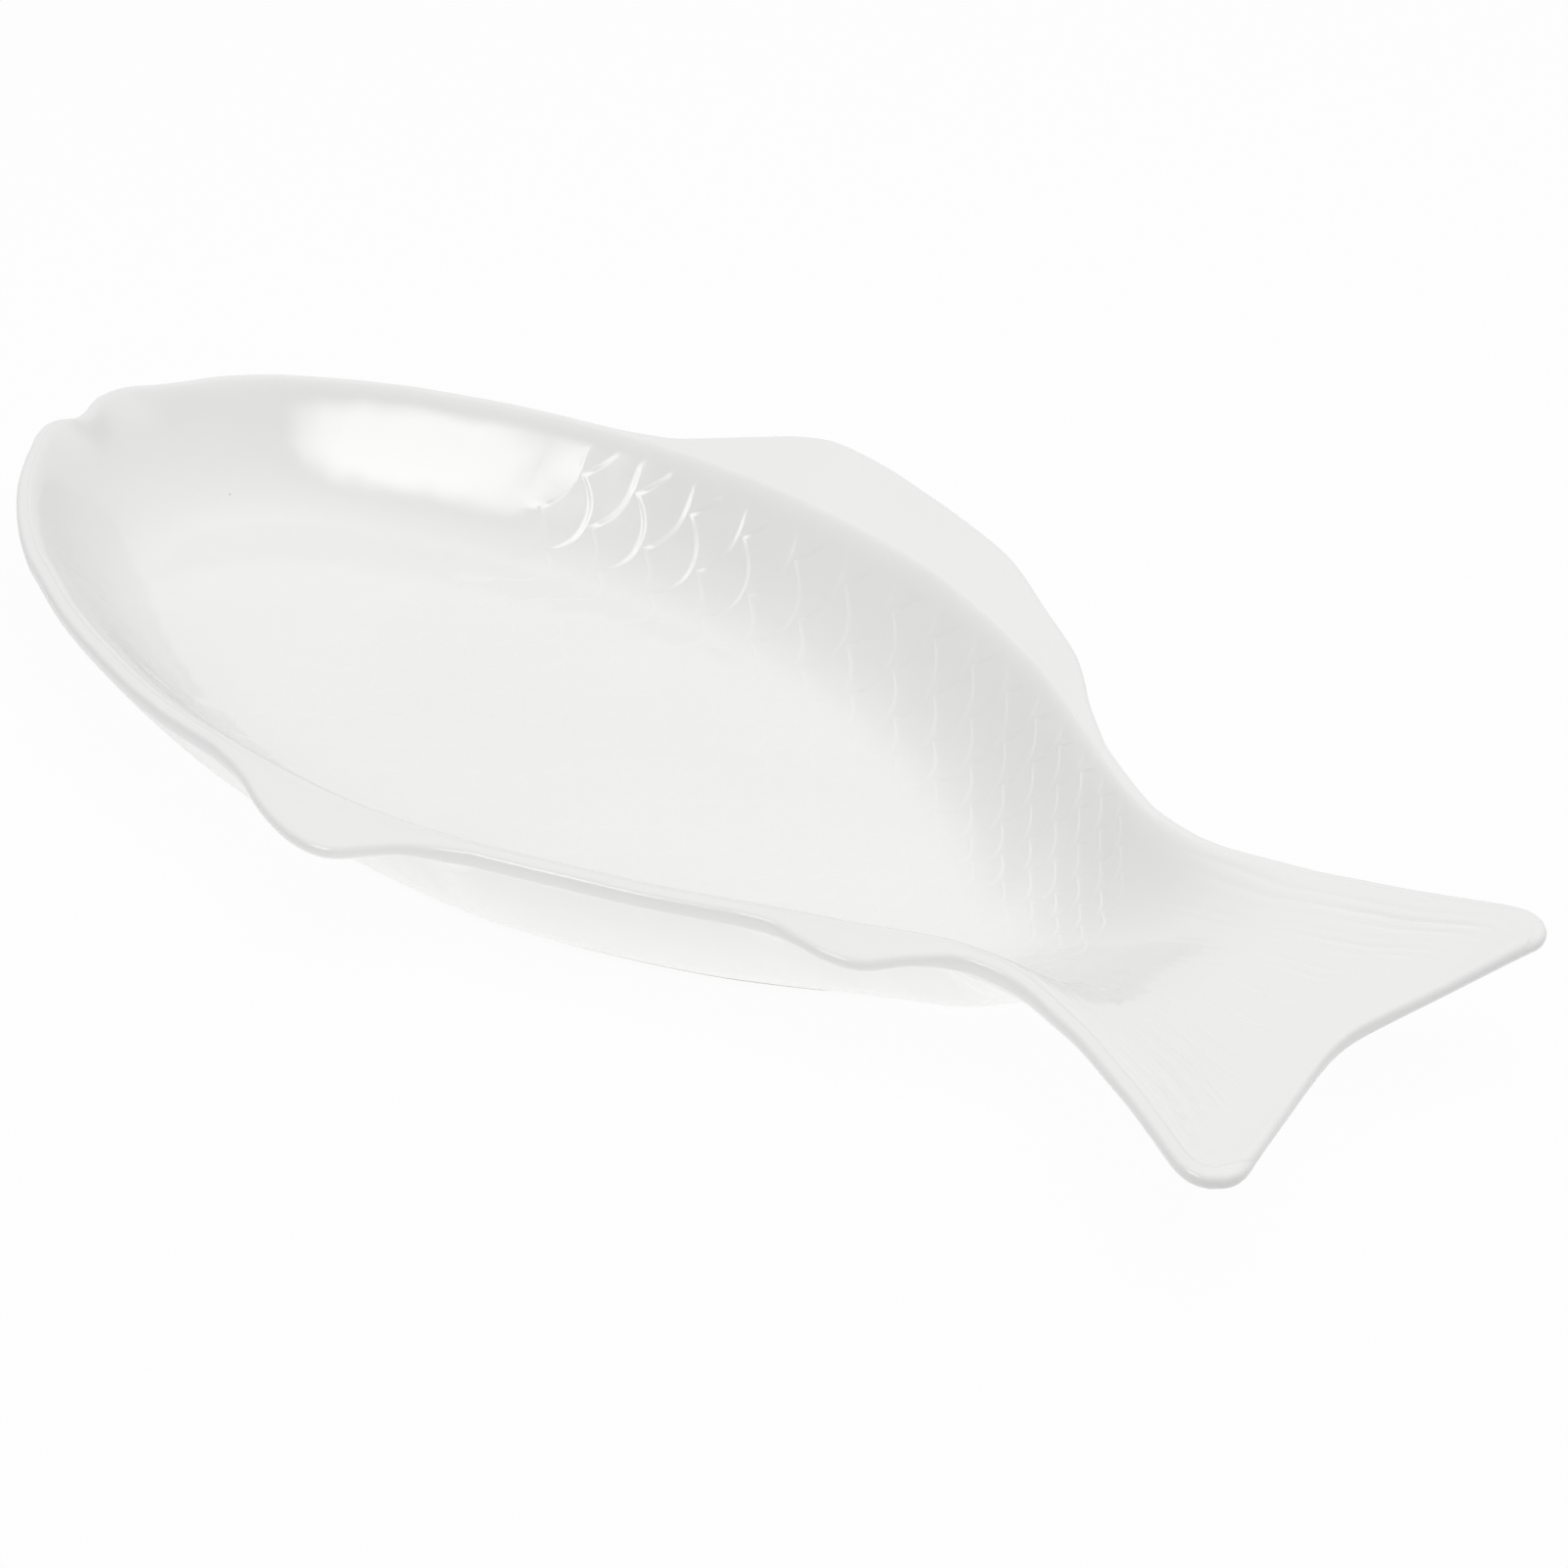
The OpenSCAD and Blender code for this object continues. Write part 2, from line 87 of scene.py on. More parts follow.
# Along the body: the share of the way, and the share of the change in width. The tuck of the belly
# goes by shares of the whole length.
front_line = [
    (0, 0), (0.21, 0.388), (0.43, 0.676), (0.66, 0.898), (0.82, 0.974), (0.93, 0.9965), (1, 1),
]
rear_line = [
    (0, 1), (0.04, 0.998), (0.08, 0.992), (0.18, 0.967), (0.29, 0.919), (0.42, 0.806),
    (0.56, 0.643), (0.65, 0.51), (0.76, 0.315), (0.83, 0.188), (0.92, 0.05), (0.97, 0.012), (1, 0),
]
tuck_line = [
    (0.3, 0), (0.4, 0.3), (0.48, 0.42), (0.54, 0.8), (0.6, 1), (0.65, 0.9), (0.68, 0.78),
    (0.71, 0.48), (0.745, 0),
]
tail_line = [
    (0, 0), (0.06, 0.005), (0.13, 0.033), (0.27, 0.147), (0.4, 0.26), (0.53, 0.412),
    (0.67, 0.578), (0.8, 0.754), (0.93, 0.934), (1, 1),
]

# Each fin: its side, its start and end as shares of the length, its height, and its drawn line
dorsal_height, pelvic_height, anal_height = 25.4, 11.4, 8
dorsal_fin = (1, 0.261, 0.728, dorsal_height, [
    (0, 0), (0.036, 0.02), (0.07, 0.063), (0.107, 0.15), (0.143, 0.376), (0.179, 0.627),
    (0.214, 0.863), (0.25, 0.985), (0.286, 1), (0.357, 0.945), (0.464, 0.823), (0.571, 0.71),
    (0.643, 0.65), (0.75, 0.455), (0.82, 0.361), (0.857, 0.306), (0.893, 0.216),
    (0.929, 0.114), (1, 0),
])
pelvic_fin = (-1, 0.378, 0.556, pelvic_height, [
    (0, 0), (0.17, 0.21), (0.33, 0.58), (0.41, 0.75), (0.52, 0.93), (0.61, 1), (0.66, 0.98),
    (0.7, 0.89), (0.74, 0.7), (0.81, 0.36), (0.89, 0.15), (1, 0),
])
anal_fin = (-1, 0.694, 0.803, anal_height, [
    (0, 0), (0.13, 0.08), (0.26, 0.36), (0.39, 0.64), (0.5, 0.86), (0.6, 1), (0.67, 0.97),
    (0.72, 0.8), (0.77, 0.58), (0.85, 0.33), (0.92, 0.12), (1, 0),
])


def part_of(x, start, end):
    return np.clip((x - start) / (end - start), 0, 1)


def ease(share):
    return share * share * (3 - 2 * share)


def blend(start, end, share):
    return start + (end - start) * share


def drawn_line(points, x):
    """A smooth line through the points of a drawing, read at x."""
    px, py = np.array(points, float).T
    lean = np.empty(len(px))
    lean[1:-1] = (py[2:] - py[:-2]) / (px[2:] - px[:-2])
    lean[0] = (py[1] - py[0]) / (px[1] - px[0])
    lean[-1] = (py[-1] - py[-2]) / (px[-1] - px[-2])
    i = np.clip(np.searchsorted(px, x, side="right") - 1, 0, len(px) - 2)
    step = px[i + 1] - px[i]
    t = np.clip((x - px[i]) / step, 0, 1)
    return (
        py[i] * (1 + 2 * t) * (1 - t) ** 2 + step * lean[i] * t * (1 - t) ** 2
        + py[i + 1] * t * t * (3 - 2 * t) - step * lean[i + 1] * t * t * (1 - t)
    )


def swelling(points, x):
    """A drawn line that is nothing before its first point and after its last."""
    inside = (x > points[0][0]) & (x < points[-1][0])
    return np.where(inside, np.maximum(drawn_line(points, x), 0), 0)


def head_round(angle):
    return head_radius * drawn_line(head_line, angle)


def body_edge(u, side):
    """Half width of the fish without its fins, at a place along it."""
    head_end, body_end, root_end = head_round(90), body_width / 2, root_width / 2
    front = blend(head_end, body_end, drawn_line(front_line, part_of(u, head_at, widest_at)))
    rear = blend(root_end, body_end, drawn_line(rear_line, part_of(u, widest_at, root_at)))
    lean = math.radians(tail_tip_lean)
    tail_end = tail_width / 2 + tail_tip_radius * (1 / math.cos(lean) - 1)
    spread = drawn_line(tail_line, part_of(u, root_at, length - tail_tip_radius))
    corner = u - length + tail_tip_radius
    tip_bow = np.sqrt(np.maximum(tail_tip_radius**2 - corner**2, 0))
    on_tip = corner > -tail_tip_radius * math.sin(lean)
    tail = np.where(on_tip, tail_width / 2 - tail_tip_radius + tip_bow, blend(root_end, tail_end, spread))
    tuck = np.where(side < 0, belly_tuck * swelling(tuck_line, u / length), 0)
    return np.where(u < root_at, np.where(u < widest_at, front, rear) - tuck, tail)


def fin_height(u, side):
    """How far the fins stand out from the body."""
    total = np.zeros_like(u)
    for fin_side, start, end, height, line in (dorsal_fin, pelvic_fin, anal_fin):
        share = (u / length - start) / (end - start)
        total += np.where(side == fin_side, height * swelling(line, share), 0)
    return total


def fork_line(share):
    """The trailing edge from the bottom of the fork to a tip, where it lies square to the fish."""
    bow = np.sqrt(share**2 + fork_round**2) - fork_round
    bow = bow / (np.sqrt(1 + fork_round**2) - fork_round)
    past_tip = np.maximum(share - 1 + fork_end, 0)
    return bow - past_tip**2 * fork_end_lean / (2 * fork_end)


# Scales: rows of shingles cut into the mould, shorter and narrower as the body narrows. The free
# edge of a scale is an arc towards the tail, and it starts at the tips of the two scales before it.
scale_pitch, scale_line, scale_lines, tip_line = 0.1, 0.0465, 20, 19
first_row_at, last_row_at, head_gap = 97, 289, 0.13
scale_curl, curl_bend, step_width = 0.08, 2.2, 0.015
scale_height, floor_show, small_scale, scale_sink = 0.62, 0.22, 0.4, 0.75
full_scale_half = 75
scales_fade_from, scales_fade_to = 0.905, 0.96
last_arc_at, last_arc_bow, arc_fade_before, arc_fade_after, toe_fade = 294.5, 0.018, 5, 1, 13


def half_width(u):
    return float(body_edge(np.array(float(u)), 1))


row_places = [first_row_at]
while row_places[-1] < last_row_at:
    row_places.append(row_places[-1] + scale_pitch * half_width(row_places[-1]))

# Stations along the fish: place, row of scales, how far it follows that row's free edges and the
# next row's, its level on the step, and its share of the way to the next row. Between two rows the
# stations lean from one to the other.
head_stations, tail_stations, turn_stations = 23, 42, 3
wide_from, wide_steps, narrow_steps = 45, (0.06, 0.2, 0.4, 0.6, 0.8, 0.94), (0.1, 0.35, 0.65, 0.9)
end_shares = np.array([0.8, 0.55, 0.36, 0.22, 0.12, 0.05, 0.015, 0])


def plain_stations(places):
    return [(u, 0, 0, 0, 0, 0) for u in places]


head_end_at = first_row_at - head_gap * half_width(first_row_at)
stations = plain_stations(np.linspace(head_at, head_end_at, head_stations)[1:])
for i in range(len(row_places) - 1):
    half = half_width(row_places[i])
    for down in np.linspace(0, 1, turn_stations):
        stations.append((row_places[i] + down * step_width * half, i, 1, 0, 1 - down, 0))
    start, end = row_places[i] + step_width * half, row_places[i + 1]
    for f in wide_steps if half > wide_from else narrow_steps:
        stations.append((blend(start, end, f), i, 1 - f, f, 0, f))
stations += plain_stations(np.linspace(row_places[-1], length - edge_radius, tail_stations)[1:])
stations += plain_stations(length - edge_radius * end_shares)
stations = np.array(stations).T

# Round the head the sections turn about one point, closer together from the belly to the mouth
mouth_turn_step, cheek_turn_step, cheek_from = 1.5, 3, 21
head_turns = np.concatenate([
    np.arange(-90, cheek_from, mouth_turn_step), np.arange(cheek_from, 91, cheek_turn_step),
])
flank, turns = stations.shape[1], len(head_turns)
on_head = np.concatenate([np.zeros(flank, bool), np.ones(turns, bool), np.zeros(flank, bool)])
side = np.concatenate([-np.ones(flank), np.where(head_turns < 0, -1, 1), np.ones(flank)])
turn = np.concatenate([np.full(flank, -90.0), head_turns, np.full(flank, 90.0)])
head_part = np.zeros((len(stations), turns))
head_part[0] = head_at
sections = np.concatenate([stations[:, ::-1], head_part, stations], 1)
along, row_of, own_row, next_row, step_level, beyond = sections

# Lines across the well, from the middle to the crest: three to each line of the scales, then close
# together over the roll of the rim
lines_to_scale_line, rim_lines, rim_crowding, tip_spacing = 3, 16, 1.3, 4
scales_end = scale_lines * scale_line
well_lines = np.concatenate([
    np.arange(0, lines_to_scale_line * scale_lines) / lines_to_scale_line * scale_line,
    1 - (1 - scales_end) * np.linspace(1, 0, rim_lines)[:-1] ** rim_crowding,
])[:, None]
shift = tip_line + tip_spacing / 2 * np.mod(row_of, 2)
off = np.mod(side * well_lines / scale_line - shift, tip_spacing)
off = np.minimum(off, tip_spacing - off) / (tip_spacing / 2)
next_off = 1 - off
on_well = 1 - ease(part_of(well_lines, scales_fade_from, scales_fade_to))
plain_half = body_edge(along, 1)
curl = own_row * off**curl_bend + next_row * next_off**curl_bend
well_u = along - scale_curl * plain_half * on_well * curl
on_step = (own_row > 0) & (beyond == 0)
level = own_row * (0.5 - off / 2) + next_row * (1 - next_off / 2)
level = level + 0.5 * ease(step_level) * on_step
level = np.where(own_row + next_row > 0, level - scale_sink, 0)

# Section of the shell. The clay is pressed over a hump mould: a wall that rolls over at the rim,
# a flat floor, an outer wall that comes down to the foot, and level fins at the height of the rim.
rim_height, floor_thickness, foot_height = 30, 4, 1.5
wall_run, base_inset, hollow_run, hollow_depth = 29.5, 20.5, 36, 3.2
lip_bend, wall_bend, outer_bend = 1.5, 2.7, 1.35
crest_in = 0.85 * rim_thickness
fin_drop, edge_drop = 1.2, 0.1 * rim_thickness
flange_at, most_slant, slant_turn = 1.5, 1.8, 2
inner_head, inner_head_bend, least_inner = 0.794, 3, 0.12
near_step, wall_step = 0.004 * length, 0.03 * length
rise_from, rise_to = 0.742, 0.905
keel_rise_from, keel_rise_to = 0.752, 0.9
calm_turn, rim_turn = 66, 87
rim_line_from = 0.84
tail_blade_run = 30


def body_reach(u):
    mouth_cut = mouth_depth * swelling(mouth_line, turn)
    return np.where(on_head, head_round(turn) - mouth_cut, body_edge(u, side))


def outer_reach(u):
    return body_reach(u) + np.where(on_head, 0, fin_height(u, side))


def slant(edge, u, step, end):
    """How much wider a rim looks in a section that crosses it on the slant."""
    to = np.minimum(u + step, end)
    start = np.maximum(np.minimum(u, to) - step, head_at)
    past, before = np.minimum(turn + slant_turn, 90), np.maximum(turn - slant_turn, -90)
    swell = (head_round(past) - head_round(before)) / head_round(turn) / np.radians(past - before)
    rise = np.where(on_head, swell, (edge(to) - edge(start)) / (to - start))
    return np.minimum(np.sqrt(1 + rise**2), most_slant)


def flank_toe(u, inset):
    """Where a wall ends at the bottom, behind the head: a calmer line than the rim."""
    half = body_edge(u, 1)
    to = np.minimum(u + wall_step, length - tail_tip_radius)
    start = np.maximum(np.minimum(u, to) - wall_step, head_at)
    wide = np.sqrt(1 + ((body_edge(to, 1) - body_edge(start, 1)) / (to - start)) ** 2)
    return np.maximum(half - inset * wide, least_inner * half)


def head_toe(angle):
    """The same line round the head, as a share of what it is where the head begins."""
    return blend(inner_head, 1, np.abs(angle / 90) ** inner_head_bend)


def inner_edge(u, inset):
    return np.where(on_head, head_toe(turn), 1) * flank_toe(u, inset)


def floor_rise(u):
    return ease(part_of(u / length, rise_from, rise_to))


def crest_edge(u):
    """Where the inner wall starts: on the head a calmer line than the rim, without the mouth."""
    plain = np.where(on_head, head_radius * drawn_line(calm_head_line, turn), body_edge(u, side))
    calm = on_head * (1 - ease(part_of(np.abs(turn), calm_turn, rim_turn)))
    return plain - crest_in * blend(slant(body_reach, u, near_step, length), 1, calm)


def toe_edge(u):
    return inner_edge(u, crest_in + blend(wall_run, hollow_run, floor_rise(u)))


def well_height(u, v):
    """Height of the inner wall and floor at a distance v from the middle line."""
    low = foot_height + floor_thickness
    low = blend(low, rim_height - hollow_depth, floor_rise(u))
    down = part_of(v, crest_edge(u), toe_edge(u))
    return low + (rim_height - low) * (1 - down**lip_bend) ** wall_bend


body, outer = body_reach(along), outer_reach(along)
body_slant = slant(body_reach, along, near_step, length)
outer_slant = slant(outer_reach, along, near_step, length)
crest = body - crest_in * body_slant
keel = inner_edge(along, blend(base_inset, hollow_run, floor_rise(along)))
keel_rise = ease(part_of(along / length, keel_rise_from, keel_rise_to))
keel_z = blend(foot_height, rim_height - hollow_depth - rim_thickness, keel_rise)
flange = ease(part_of((outer - body) / rim_thickness, 0, flange_at))
tail_blade = np.where(on_head, 0, ease(part_of(along, root_at, root_at + tail_blade_run)))
flange = np.maximum(flange, tail_blade)
edge_z = rim_height - edge_drop - fin_drop * (outer - body) / dorsal_height

well_v = crest_edge(well_u) * well_lines
well_z = well_height(well_u, well_v)
to_rim = np.where(on_head, crest - crest_edge(along), 0)
well_v += to_rim * ease(part_of(well_lines, rim_line_from, 1))

# Relief of the scales on the well, lower on the floor and faded out at the rim and the tail's root
last_arc = last_arc_at - last_arc_bow * well_v**2
before_arc = 1 - ease(part_of(well_u, last_arc - arc_fade_before, last_arc + arc_fade_after))
shown = on_well * before_arc
shown = shown * blend(floor_show, 1, ease(part_of(well_v - toe_edge(well_u), 0, toe_fade)))
well_z += scale_height * level * shown * (plain_half / full_scale_half) ** small_scale

# Rays: fine grooves that fan over the tail, cut with a point into the mould, so they vary in depth.
# They are deepest near the long borders and towards the trailing edge.
ray_stations = [286, 317, 340, 352]
ray_lines = [
    [-27, -19, -11, -6, -2, 3, 9, 17, 27],
    [-34, -29, -22.5, -17.5, -11.5, -4, 6, 17, 34],
    [-43, -37, -30, -23, -15, -3, 12, 27, 43],
    [-50, -44.5, -37, -25, -14.5, 4, 21.5, 35, 50],
]
tail_rays, ray_depth = 38, 0.2
ray_root, ray_root_bow, ray_full_at = 296, 0.018, 312
ray_border_from, ray_border_to = 0.84, 0.95
ray_end_to, ray_end_from = 2.5, 7
ray_swing, ray_swing_rate, ray_swing_start, ray_swing_run = 0.4, 1.9, 0.7, 21
root_crisp, end_crisp, crisp_from, crisp_to = 0.6, 1.7, 318, 342
border_crisp, border_crisp_from, border_crisp_to = 0.7, 0.45, 0.72


def tail_rays_at(u, v):
    place = np.interp(u, ray_stations, range(len(ray_stations)))
    lower = np.clip(place.astype(int), 0, len(ray_stations) - 2)
    lines = np.array(ray_lines, float)
    here = blend(lines[lower], lines[lower + 1], (place - lower)[..., None])
    ray = np.zeros_like(u)
    for i in range(here.shape[-1] - 1):
        ray += np.clip((v - here[..., i]) / (here[..., i + 1] - here[..., i]), 0, 1)
    phase = ray / (here.shape[-1] - 1) * tail_rays
    swing = np.sin(phase * ray_swing_rate + ray_swing_start + u / ray_swing_run)
    uneven = 1 - ray_swing + ray_swing * swing
    to_side = np.abs(v) / body_edge(u, 1)
    shown = ease(part_of(u, ray_root - ray_root_bow * v**2, ray_full_at))
    shown = shown * (1 - ease(part_of(to_side, ray_border_from, ray_border_to)))
    back_edge = length - fork_depth * (1 - fork_line(np.minimum(to_side, 1)))
    shown = shown * ease(part_of(back_edge - u, ray_end_to, ray_end_from))
    crisp = blend(root_crisp, end_crisp, ease(part_of(u, crisp_from, crisp_to)))
    crisp = crisp * (1 + border_crisp * ease(part_of(to_side, border_crisp_from, border_crisp_to)))
    return -(0.5 + 0.5 * np.cos(2 * np.pi * phase)) ** 2 * uneven * shown * crisp


well_z += ray_depth * tail_rays_at(well_u, side * well_v) * ~on_head

# Rows of points across a section, from the middle of the floor over the rim to the middle below.
# The roll at the edge is a little squarer than a half circle. Below it the outside falls away
# steeply where the rim has no fin.
flat_rows, under_rows, outer_rows, flat_bow = 11, 6, 13, 0.35
roll, roll_angles, under_angles = 0.76, (76, 62, 48, 33, 17, 0), (18, 36, 54, 72, 90)
wall_reach, wall_drop, fin_under_drop = 0.22, 1.12, 1
wall_under_in, fin_under_in, wall_under_down, fin_under_down = 0.25, 0.78, 1.5, 1.15
base_shares = (0.8, 0.6, 0.4, 0.2, 0)

rows = [(well_u[i], well_v[i], well_z[i]) for i in range(len(well_lines))]
reach = edge_radius * outer_slant
for share in np.linspace(0, 1, flat_rows):
    bow = share + flat_bow * np.sin(np.pi * share) * (1 - share)
    rows.append((along, blend(crest, outer - reach, share), blend(rim_height, edge_z, bow)))
for angle in np.radians(roll_angles):
    across, up = np.cos(angle) ** roll, np.sin(angle) ** roll
    rows.append((along, outer - reach * (1 - across), edge_z - edge_radius * (1 - up)))
outermost = len(rows) - 1
reach = reach * blend(wall_reach, 1, flange)
drop = rim_thickness * blend(wall_drop, fin_under_drop, flange)
for angle in np.radians(under_angles):
    down = edge_radius + (drop - edge_radius) * np.sin(angle)
    rows.append((along, outer - reach * (1 - np.cos(angle)), edge_z - down))
under_v = body - rim_thickness * blend(wall_under_in, fin_under_in, flange) * body_slant
under_z = rim_height - rim_thickness * blend(wall_under_down, fin_under_down, flange)
for share in np.linspace(0, 1, under_rows)[1:]:
    rows.append((along, blend(outer - reach, under_v, share), blend(edge_z - drop, under_z, share)))
for share in np.linspace(0, 1, outer_rows)[1:]:
    height = keel_z + (under_z - keel_z) * (1 - share) ** outer_bend
    rows.append((along, blend(under_v, keel, share), height))
for share in base_shares:
    rows.append((along, keel * share, keel_z))
u, v, z = (np.array([row[axis] for row in rows]) for axis in range(3))

# The thickness rounds off at the trailing edge of the tail, and the edge is drawn in to a fork
end_round = 3
core = well_height(along, np.minimum(v, crest_edge(along))) - edge_radius
past = np.clip((length - along) / edge_radius, 0, 1)
z = np.where(on_head, z, core + (z - core) * (1 - (1 - past) ** end_round) ** (1 / end_round))
fork = fork_depth * part_of(u, root_at, length) ** 2
x = np.where(on_head, u - v * np.cos(np.radians(turn)), u - fork * (1 - fork_line(np.minimum(v / body, 1))))
y = np.where(on_head, v * np.sin(np.radians(turn)), side * v)

# At the end of the tail the upper side meets the lower one, point on point
for end in (0, -1):
    meets = outermost + np.abs(v[outermost:, end] - v[:outermost, end, None]).argmin(1)
    for points in (x, y, z):
        points[:outermost, end] = points[meets, end]

# The shell is fitted closely into the box of the solid, which has its middle at the origin
low_corner, high_corner = (np.array(corner) / mm for corner in cad_box)
centre = np.array([(x.min() + x.max()) / 2, (y.min() + y.max()) / 2])
snug = 0.005
fit_x = (high_corner[0] - low_corner[0] - 2 * snug) / (x.max() - x.min())
fit_y = (high_corner[1] - low_corner[1] - 2 * snug) / (y.max() - y.min())


# The shell starts as a flat sheet of clay, a grid, and every crossing is laid on the mould. The
# edges of the sheet meet along the middle line, above and underneath, and at the end of the tail.
def sheet_of_clay(spans_along, spans_across):
    """A flat sheet, with the column and the row of each of its crossings."""
    bpy.ops.mesh.primitive_grid_add(x_subdivisions=spans_along, y_subdivisions=spans_across, size=2)
    sheet = bpy.context.object
    flat = np.empty(len(sheet.data.vertices) * 3)
    sheet.data.vertices.foreach_get("co", flat)
    shares = (flat.reshape(-1, 3) + 1) / 2
    column = np.rint(shares[:, 0] * spans_along).astype(int)
    row = np.rint(shares[:, 1] * spans_across).astype(int)
    return sheet, column, row


def lay_on_mould(sheet, places):
    """Each crossing goes to its place in mm, and the edges that meet are closed."""
    merge_distance = 1e-6
    sheet.data.vertices.foreach_set("co", (places * mm).ravel())
    sheet.data.update()
    bpy.ops.object.mode_set(mode="EDIT")
    bpy.ops.mesh.select_all(action="SELECT")
    bpy.ops.mesh.remove_doubles(threshold=merge_distance)
    bpy.ops.mesh.normals_make_consistent(inside=False)
    bpy.ops.object.mode_set(mode="OBJECT")
    bpy.ops.object.shade_smooth()


platter, column, row = sheet_of_clay(len(along) - 1, len(rows) - 1)
platter.name = platter.data.name = "platter_shell"
laid_x = (x[row, column] - centre[0]) * fit_x
laid_y = (y[row, column] - centre[1]) * fit_y
lay_on_mould(platter, np.stack([laid_x, laid_y, z[row, column]], 1))

# Foot ring: a low ridge under the shell, flared where it leaves the clay. Its resting face is
# wiped clean of glaze before the firing. The whole ring is painted a dark grey that also stands in
# for shade: the painted shadow line where the ring meets the table. Its section is drawn from the
# ring's outer line inwards.
foot_inset, foot_end, closes_at = 21.6, 276, 0.69
foot_profile = np.array([
    (-1.3, 1.62), (-0.6, 1.4), (-0.15, 0.95), (0.05, 0.5), (0.25, 0.16), (0.7, 0), (1.5, 0),
    (2.3, 0), (2.75, 0.16), (2.95, 0.5), (3.15, 0.95), (3.6, 1.4), (4.3, 1.62), (-1.3, 1.62),
])
turn_step, station_step = 3, 4
plain = ~on_head & (side > 0) & (along < closes_at * length)
flank_u = np.unique(along[plain])[::station_step]
close_turn = np.radians(np.arange(0, 91, turn_step))
close_u = blend(closes_at * length, foot_end, np.sin(close_turn))
flank_v = np.concatenate([
    flank_toe(flank_u, foot_inset), flank_toe(close_u, foot_inset) * np.cos(close_turn),
])
flank_u = np.concatenate([flank_u, close_u])
foot_turns = np.arange(-90, 91, turn_step)[1:-1]
angles = np.radians(foot_turns)
head_v = flank_toe(np.array([head_at]), foot_inset) * head_toe(foot_turns)
loop = np.concatenate([
    np.stack([head_at - head_v * np.cos(angles), head_v * np.sin(angles)], 1),
    np.stack([flank_u, flank_v], 1),
    np.stack([flank_u[-2::-1], -flank_v[-2::-1]], 1),
])
ahead_of, behind = np.roll(loop, -1, 0), np.roll(loop, 1, 0)
inward = (ahead_of - behind)[:, ::-1] * (1, -1)
inward = inward / np.linalg.norm(inward, axis=1)[:, None]
foot, column, row = sheet_of_clay(len(loop), len(foot_profile) - 1)
column = column % len(loop)
section_in, section_up = foot_profile[row].T
ring = (loop[column] + inward[column] * section_in[:, None] - centre) * (fit_x, fit_y)
lay_on_mould(foot, np.column_stack([ring, section_up]))

# Bare clay of the foot, darker than the clay itself: the grey is also painted shade, the shadow line under
# the platter's edge.
foot_clay_and_shade = bpy.data.materials.new("bare_clay_and_painted_shade")
foot_clay_and_shade.use_nodes = True
clay_and_shade_surface = foot_clay_and_shade.node_tree.nodes["Principled BSDF"]
clay_and_shade_surface.inputs["Base Color"].default_value = (0.56, 0.54, 0.5, 1)
clay_and_shade_surface.inputs["Roughness"].default_value = 0.75

glaze = bpy.data.materials.new("white_glaze")
platter.data.materials.append(glaze)
foot.data.materials.append(foot_clay_and_shade)
platter.select_set(True)
bpy.context.view_layer.objects.active = platter
bpy.ops.object.join()
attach(platter, "root")
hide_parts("platter")


# Glaze: a clear glassy coat over the white body, poured on and fired. It is faintly clouded and
# wavy, with a few pinholes, and it shines less where it is seen along the wall.
def add_node(tree, kind, inputs, **settings):
    """A node with its settings, and a value or another node's output in each input."""
    node = tree.nodes.new(kind)
    for name, setting in settings.items():
        setattr(node, name, setting)
    for name, value in inputs.items():
        if isinstance(value, bpy.types.NodeSocket):
            tree.links.new(value, node.inputs[name])
        else:
            node.inputs[name].default_value = value
    return node


def carry(tree, value, start, end, low, high, curve="SMOOTHSTEP"):
    """A value carried from one range over to another."""
    limits = {"Value": value, "From Min": start, "From Max": end, "To Min": low, "To Max": high}
    return add_node(tree, "ShaderNodeMapRange", limits, interpolation_type=curve).outputs["Result"]


def reckon(tree, operation, *values):
    return add_node(tree, "ShaderNodeMath", dict(enumerate(values)), operation=operation).outputs[0]


def clouds(tree, place, scale, detail):
    inputs = {"Vector": place, "Scale": scale, "Detail": detail}
    return add_node(tree, "ShaderNodeTexNoise", inputs).outputs["Fac"]


def two_colours(tree, share, first, second):
    inputs = {"Factor": share, "A": first, "B": second}
    return add_node(tree, "ShaderNodeMix", inputs, data_type="RGBA").outputs["Result"]


cloud_scale, cloud_detail = 26, 2
wave_scale, peel_scale, ripple_detail = 75, 420, 1
peel_share, pinhole_dent, ripple_height = 0.07, -0.15, 0.00022
pinhole_cells, pinhole_edge, pinhole_core, pinhole_rarity = 40, 0.012, 0.004, 0.88
thin_from, thin_to, thin_coat = 0.8, 0.97, 0.05
white, warm_white, speck_grey = (0.85, 0.85, 0.846, 1), (0.88, 0.88, 0.872, 1), (0.5, 0.49, 0.47, 1)

glaze.use_nodes = True
tree = glaze.node_tree
shader = tree.nodes["Principled BSDF"]
shader.inputs["Roughness"].default_value = 0.12
shader.inputs["Specular IOR Level"].default_value = 0
shader.inputs["Coat Roughness"].default_value = 0.03
shader.inputs["Coat IOR"].default_value = 1.55
grazing = add_node(tree, "ShaderNodeLayerWeight", {"Blend": 0.5}).outputs["Facing"]
tree.links.new(carry(tree, grazing, thin_from, thin_to, 1, thin_coat), shader.inputs["Coat Weight"])

